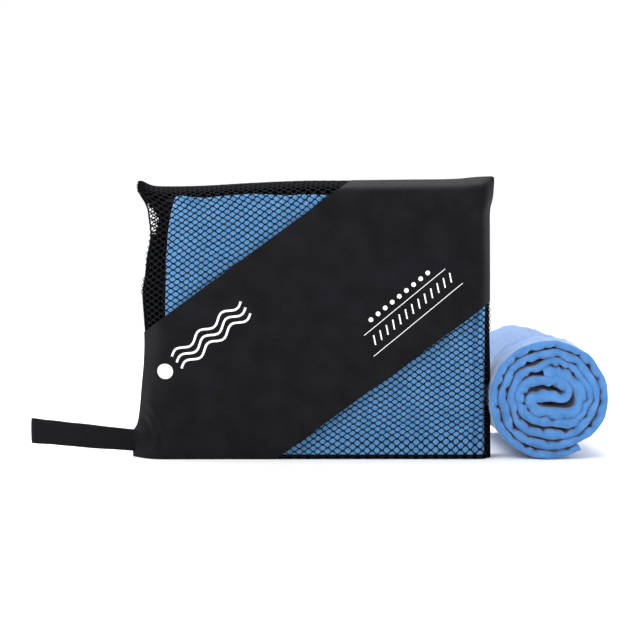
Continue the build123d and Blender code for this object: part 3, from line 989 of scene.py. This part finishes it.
def add_back(material):
    """The back, with the zip's window and a notch that only net covers, and the pouch's floor."""

    def drop(p):
        in_window = TAPE_LOW.x + 1.2 < p.x < TAPE_HIGH.x - 3 and p.z > ZIP_LOW
        notch = 6.2 * max(0.0, 1 - abs(p.z - 164) / 15.5)
        return in_window or p.x < between(LEFT_SIDE, p.z) + notch

    heights = steps(0.5, ZIP_LOW - 6, 4.0)[:-1] + steps(ZIP_LOW - 6, ZIP_LOW, 1.5)[:-1]
    heights += steps(ZIP_LOW, ZIP_HIGH, 1.5)
    xs = steps(NOMINAL_LEFT, -99, 1.2)[:-1] + steps(-99, 112, 4.0)[:-1] + steps(112, NOMINAL_RIGHT, 1.2)
    back = cloth_panel("nylon_back", back_point, xs, heights, 0.0, [], material, drop)
    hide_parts("back_panel")

    def floor_point(x, t):
        front, rear = front_point(x, 0.0), back_point(x, 0.5)
        at = front.lerp(rear, t)
        return Vector((at.x, at.y, 0.3))

    base = cloth_panel("nylon_base", floor_point, xs, steps(0, 1, 0.08), 0.0, [], material)
    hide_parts("bottom_panel")
    sides = ["left_seam_binding", "right_seam_binding"]
    stretched(back, 249, 190, 46000, [*sides, "zip_tape_lower", "bottom_panel"])
    stretched(base, 248, 34, None, ["front_band", "back_panel"])


def add_seams(material):
    """Bias tape round the raw edges of the two side seams."""
    for name, table, side, node in (
        ("seam_left", LEFT_SIDE, 1, "left_seam_binding"),
        ("seam_right", RIGHT_SIDE, -1, "right_seam_binding"),
    ):
        line = []
        for z in steps(1.2, 186, 3.0):
            x = between(table, z) + side * 0.8
            line.append(Vector((x, seam_y(x, z), z)))
        seam = tube(name, line, 0.6, material)
        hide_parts(node)


def add_loop(material):
    """The wrist loop: one length of flat webbing, folded back on itself."""
    hinge_x, left_x = LOOP_HIGH.x, LOOP_LOW.x
    fold_r = 3.6
    step = 0.5
    sides = 12
    bend = [radians(d) for d in (20, 55, 90, 125, 160)]
    path = [(hinge_x + 1.0, -0.7), (hinge_x - 8, -1.1), (hinge_x - 25, -2.9), (hinge_x - 45, -3.5)]
    path += [(left_x + 6, -3.6)]
    path += [(left_x + fold_r + 0.6 - fold_r * sin(a), -fold_r * cos(a)) for a in bend]
    path += [(left_x + 6, 3.6)]
    path += [(hinge_x - 45, 3.3), (hinge_x - 25, 2.6), (hinge_x - 8, 1.1), (hinge_x + 1.0, 0.7)]
    line = smooth_line(path, step)
    normals = normals_of(line)
    points, faces = [], []
    for i, at in enumerate(line):
        out = min(1.0, max(0.0, (hinge_x - at.x) / (hinge_x - left_x)))
        middle = 11.0 + 7.2 * out + 0.5 * noise.noise(Vector((at.x / 14, at.y / 9, 2.2)))
        # the weave's ribs show along the edges and across the face
        half_wide = 7.5 + 0.9 * out + 0.22 * sin(i * step * 2 * pi / 2.2)
        half_thick = 0.55 + 0.13 * sin(i * step * 2 * pi / 1.5)
        lean = 0.5 * noise.noise(Vector((at.x / 22, 5.5, 0.4)))
        for k in range(sides):
            angle = 2 * pi * k / sides
            tall = max(-1.0, min(1.0, 1.35 * sin(angle)))
            offset = normals[i] * cos(angle) * half_thick
            points.append((at.x + offset.x, at.y + offset.y + lean * tall, middle + half_wide * tall))
    for i in range(len(line) - 1):
        for k in range(sides):
            j = (k + 1) % sides
            faces.append((i * sides + k, i * sides + j, (i + 1) * sides + j, (i + 1) * sides + k))
    faces.append(tuple(range(sides)))
    faces.append(tuple((len(line) - 1) * sides + k for k in reversed(range(sides))))
    loop = build("webbing_loop", points, faces, material, "wrist_loop")
    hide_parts("wrist_loop")


# ------------------------------------------------------------------ zip
TOOTH_PITCH = 2.6


def add_block(shape, at, size):
    """Adds a box of the given size round a point."""
    cube = bmesh.ops.create_cube(shape, size=1.0)["verts"]
    bmesh.ops.scale(shape, vec=size, verts=cube)
    bmesh.ops.translate(shape, vec=at, verts=cube)


def zip_tape(word, side, y, middle_z, material):
    """One of the zip's two tapes, above (side 1) or below (side -1) its middle."""
    xs = steps(TAPE_LOW.x, TAPE_HIGH.x, 3.0)
    outer = 9.0 if side < 0 else 6.6
    across = [side * t for t in (1.1, 2.5, 4.5, outer)]
    points = [(x, y + dy, middle_z + t) for dy in (-0.25, 0.25) for t in across for x in xs]
    wide = len(xs)
    layer = 4 * wide
    faces = grid_faces(4, wide)
    faces += [tuple(layer + v for v in reversed(f)) for f in faces]
    ring = list(range(wide)) + [wide * r + wide - 1 for r in (1, 2, 3)]
    ring += [3 * wide + k for k in reversed(range(wide - 1))] + [wide * r for r in (2, 1)]
    for a, b in zip(ring, ring[1:] + ring[:1]):
        faces.append((a, b, b + layer, a + layer))
    return build(f"tape_{word}", points, faces, material, "pouch", smooth=False)


def zip_teeth(word, side, y, middle_z, material):
    """One row of teeth, on a rib along its tape's edge."""
    low, high = box_mm("zip_teeth_lower")
    shape = bmesh.new()
    for k in range(int((high.x - low.x) / TOOTH_PITCH)):
        x = low.x + TOOTH_PITCH * (k + 0.5) + side * TOOTH_PITCH / 4
        add_block(shape, (x, y, middle_z + side * 0.75), (1.15, 1.7, 1.9))
        add_block(shape, (x, y, middle_z - side * 0.2), (1.35, 1.3, 0.7))
    add_block(shape, ((high.x + low.x) / 2, y, middle_z + side * 1.5), (high.x - low.x, 1.3, 0.6))
    # a thin web closes the gap, but for where the open slider's post stands
    for start, end in ((TAPE_LOW.x + 0.4, low.x - 3.6), (low.x, high.x)):
        add_block(shape, ((start + end) / 2, y, middle_z + side * 0.8), (end - start, 0.4, 1.7))
    bmesh.ops.bevel(shape, geom=list(shape.edges), offset=0.15, segments=1, affect="EDGES")
    bmesh.ops.scale(shape, vec=(MM, MM, MM), verts=shape.verts)
    mesh = bpy.data.meshes.new(f"teeth_{word}")
    shape.to_mesh(mesh)
    shape.free()
    mesh.materials.append(material)
    return link(f"teeth_{word}", mesh, "pouch")


def add_zip(tape_material, teeth_material, metal):
    """Both rows of teeth on their tapes. The last pair made, the upper one, is returned to go with the
    mouth's cover.
    """
    middle_z = (ZIP_LOW + ZIP_HIGH) / 2
    y = (TAPE_LOW.y + TAPE_HIGH.y) / 2
    for word, side in (("lower", -1), ("upper", 1)):
        tape = zip_tape(word, side, y, middle_z, tape_material)
        teeth = zip_teeth(word, side, y, middle_z, teeth_material)
        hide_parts(f"zip_tape_{word}")
        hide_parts(f"zip_teeth_{word}")
    for node in ("slider_body", "slider_bridge", "pull_tab"):
        dress(node, metal)
    for node in ("zip_stop_closed", "zip_stop_open"):
        dress(node, teeth_material)
    return tape, teeth


def open_mouth(pieces):
    """Gives the mouth's cover and the upper half of the zip each its own copy of its mesh."""
    for piece in pieces:
        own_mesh(piece)


# ------------------------------------------------------------------ the whole scene
add_camera()
add_studio()
roll_dark, roll_light = (0.049, 0.160, 0.378), (0.082, 0.224, 0.50)
add_rolled_towel(microfibre("rolled_microfibre", roll_dark, roll_light, 0.66, (0.95, 0.94, 1.0)))
block_dark, block_light = (0.098, 0.305, 0.63), (0.150, 0.385, 0.74)
add_folded_towel(microfibre("folded_microfibre", block_dark, block_light, 0.4, (0.80, 0.84, 1.0)))
nylon = nylon_material()
webbing = webbing_material()
yarn = grained(
    "net_yarn", 0.35, 2.0, [(0.3, (0.004, 0.004, 0.005)), (0.75, (0.013, 0.013, 0.015))],
    relief=(0.12, 0.8), Roughness=0.65, Specular_IOR_Level=0.04,
)
thread = grained(
    "black_thread", 0.3, 1.0, [(0.3, (0.012, 0.012, 0.013)), (0.7, (0.030, 0.030, 0.032))],
    relief=(0.08, 0.8), Roughness=0.45, Specular_IOR_Level=0.4,
)
enamel = grained(
    "black_enamel", 1.6, 4.0, [(0.35, (0.012, 0.012, 0.013)), (0.8, (0.045, 0.045, 0.047))],
    relief=(0.03, 0.3), rough=(0.25, 0.45), Metallic=0.6, Coat_Weight=0.4, Coat_Roughness=0.15,
)
moulded = grained(
    "black_moulded", 0.5, 3.0, [(0.3, (0.010, 0.010, 0.010)), (0.7, (0.020, 0.020, 0.021))],
    rough=(0.35, 0.5), Specular_IOR_Level=0.5,
)
white_ink = grained(
    "white_print", 0.7, 3.0, [(0.25, (0.62, 0.62, 0.63)), (0.6, (0.86, 0.86, 0.86))],
    Roughness=0.55, Specular_IOR_Level=0.3,
)
net_cover = add_nets(yarn)
cover, facing = add_band(nylon)
add_prints(white_ink)
add_back(nylon)
add_seams(webbing)
add_loop(webbing)
dress("loop_root", webbing)
dress("loop_bar_tack", thread)
zip_pieces = add_zip(webbing, moulded, enamel)
open_mouth([net_cover, cover, facing, *zip_pieces])
